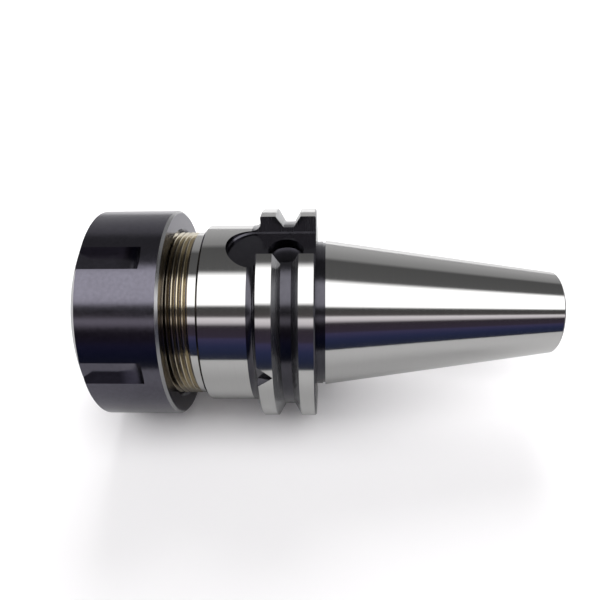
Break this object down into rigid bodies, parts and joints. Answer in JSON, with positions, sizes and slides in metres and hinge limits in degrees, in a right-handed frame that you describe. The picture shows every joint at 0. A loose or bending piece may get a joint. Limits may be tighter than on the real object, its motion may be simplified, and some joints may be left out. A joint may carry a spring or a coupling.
{
  "type": "collet chuck holder",
  "caption": "Steep-taper spindle tool holder with a gripper flange, a spring collet and a slotted clamping nut that squeezes a round tool shank.",
  "frame": {"origin": "centre of the nut's front face, on which the holder stands", "axes": "+Z along the spindle axis from the nut to the taper's small end; the shallow drive slot faces -Y and the deep one +Y"},
  "size_m": [0.0636, 0.063, 0.1384],
  "materials": {
    "holder_body": "black oxide with ground bright surfaces",
    "clamping_nut": "satin black oxide",
    "spring_collet": "ground"
  },
  "bodies": {
    "holder": {"holder_body": "holder_body"},
    "collet": {"spring_collet": "spring_collet"},
    "nut": {"clamping_nut": "clamping_nut"}
  },
  "joints": [
    {"name": "collet_slide", "type": "slide", "parent": "holder", "child": "collet", "axis": [0, 0, -1], "range_m": [0, 0.00901]},
    {"name": "nut_spin", "type": "hinge", "parent": "collet", "child": "nut", "pos_m": [0, 0, 0.01], "axis": [0, 0, -1], "range_deg": [0, 2160]}
  ],
  "couplings": [
    {"joint": "collet_slide", "follows": "nut_spin", "m_per_rad": 0.00023873}
  ]
}
